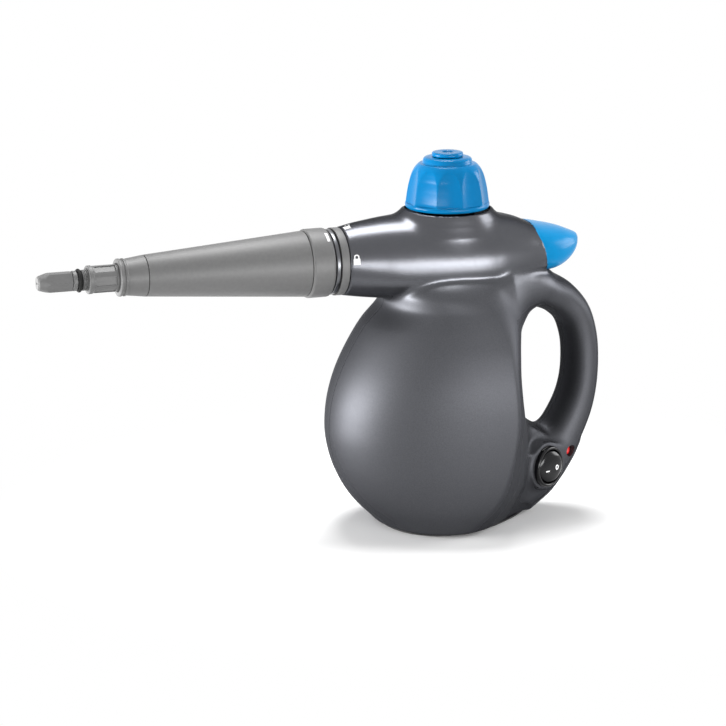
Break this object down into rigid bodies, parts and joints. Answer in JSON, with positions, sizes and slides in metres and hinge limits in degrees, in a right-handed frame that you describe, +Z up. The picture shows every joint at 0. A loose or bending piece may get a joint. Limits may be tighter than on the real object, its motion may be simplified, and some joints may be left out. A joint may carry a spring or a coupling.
{
  "type": "handheld steam cleaner",
  "caption": "Handheld steam cleaner with a round tank body, loop handle, long twist-lock nozzle, press-to-turn filler cap, thumb trigger and rocker switch.",
  "frame": {"origin": "centre of the foot, on the floor; X=0 is the middle of the handle's and nozzle's common plane above the foot, Y=0 the plane where the two housing halves meet", "axes": "+Z up, -X the way the nozzle points, -Y the side with the switch"},
  "size_m": [0.3159, 0.116, 0.204],
  "materials": {
    "shell_paint": "gunmetal metallic paint on ABS, satin gloss",
    "black_plastic": "moulded black plastic, satin",
    "rubber": "black rubber, matte",
    "steel": "zinc-plated or stainless steel, satin",
    "nozzle_grey": "mid grey heat-resistant plastic, fine texture",
    "bright_metal": "bright metal, polished",
    "blue_plastic": "blue plastic, glossy",
    "red_lens": "translucent red plastic, glossy",
    "inner_plastic": "dark heat-resistant plastic",
    "aluminium": "die-cast aluminium, satin",
    "brass": "turned brass, satin",
    "wire_jacket": "silicone jacket, matte"
  },
  "bodies": {
    "housing": {"left_shell": "shell_paint", "right_shell": "shell_paint", "base_cover": "black_plastic", "switch_body": "black_plastic", "thermostat": "black_plastic", "rubber_sole": "rubber", "cord_gland": "rubber", "boiler_gasket": "rubber", "nozzle_seal": "rubber", "base_screw_1": "steel", "base_screw_2": "steel", "base_screw_3": "steel", "base_screw_4": "steel", "housing_screw_1": "steel", "housing_screw_2": "steel", "housing_screw_3": "steel", "housing_screw_4": "steel", "housing_screw_5": "steel", "flange_bolt_1": "steel", "flange_bolt_2": "steel", "flange_bolt_3": "steel", "heating_element": "steel", "stem_spring": "steel", "trigger_pin": "steel", "trigger_spring": "steel", "bayonet_socket": "nozzle_grey", "trim_ring": "bright_metal", "steam_tube": "bright_metal", "indicator_light": "red_lens", "boiler_lower": "aluminium", "boiler_upper": "aluminium", "filler_neck": "aluminium", "thermal_fuse": "aluminium", "outlet_nipple": "brass", "riser_pipe": "brass", "valve_body": "brass", "switch_terminal_1": "brass", "switch_terminal_2": "brass", "supply_wire": "wire_jacket", "heater_wire": "wire_jacket"},
    "nozzle": {"nozzle_collar": "nozzle_grey", "nozzle_cone": "nozzle_grey", "nozzle_front": "nozzle_grey", "tool_spigot": "nozzle_grey", "spigot_o_ring": "rubber", "jet_tip": "nozzle_grey", "nozzle_tube": "inner_plastic"},
    "stem": {"valve_stem": "steel"},
    "trigger_lever": {"trigger": "blue_plastic"},
    "rocker": {"switch_rocker": "black_plastic"},
    "gasket": {"cap_gasket": "rubber"},
    "plug": {"cap_plug": "black_plastic", "cap_screw": "steel", "cap_spring": "steel", "relief_seat": "brass", "relief_spring": "steel"},
    "ball": {"relief_ball": "steel"},
    "washer": {"thrust_washer": "steel"},
    "cap": {"cap_shell": "blue_plastic", "cap_disc": "blue_plastic"}
  },
  "joints": [
    {"name": "nozzle_twist", "type": "hinge", "parent": "housing", "child": "nozzle", "pos_m": [0, 0, 0.1485], "axis": [-1, 0, 0], "range_deg": [-47, 20]},
    {"name": "cap_lift", "type": "slide", "parent": "housing", "child": "gasket", "axis": [0, 0, 1], "range_m": [0, 0.014]},
    {"name": "cap_unscrew", "type": "hinge", "parent": "gasket", "child": "plug", "pos_m": [-0.004, 0, 0.17], "axis": [0, 0, 1], "range_deg": [0, 1260]},
    {"name": "cap_press", "type": "slide", "parent": "plug", "child": "washer", "axis": [0, 0, -1], "range_m": [0, 0.0018], "stiffness_N_per_m": 800, "springref_m": -0.002, "deforming": ["cap_spring"]},
    {"name": "cap_spin", "type": "hinge", "parent": "washer", "child": "cap", "pos_m": [-0.004, 0, 0.19], "axis": [0, 0, 1], "continuous": true},
    {"name": "relief_lift", "type": "slide", "parent": "plug", "child": "ball", "axis": [0, 0, 1], "range_m": [0, 0.001], "stiffness_N_per_m": 500, "springref_m": -0.001, "deforming": ["relief_spring"]},
    {"name": "trigger_press", "type": "hinge", "parent": "housing", "child": "trigger_lever", "pos_m": [0.04, 0, 0.146], "axis": [0, 1, 0], "range_deg": [0, 6], "stiffness_Nm_per_rad": 0.5, "springref_deg": -17.19},
    {"name": "valve_open", "type": "slide", "parent": "housing", "child": "stem", "axis": [-1, 0, 0], "range_m": [0, 0.0018], "deforming": ["stem_spring"]},
    {"name": "switch_rock", "type": "hinge", "parent": "housing", "child": "rocker", "pos_m": [0.04817, -0.02256, 0.0298], "axis": [0, 0, 1], "range_deg": [0, 16]}
  ],
  "couplings": [
    {"joint": "cap_unscrew", "follows": "cap_lift", "rad_per_m": 1570.8},
    {"joint": "valve_open", "follows": "trigger_press", "m_per_rad": 0.017}
  ]
}
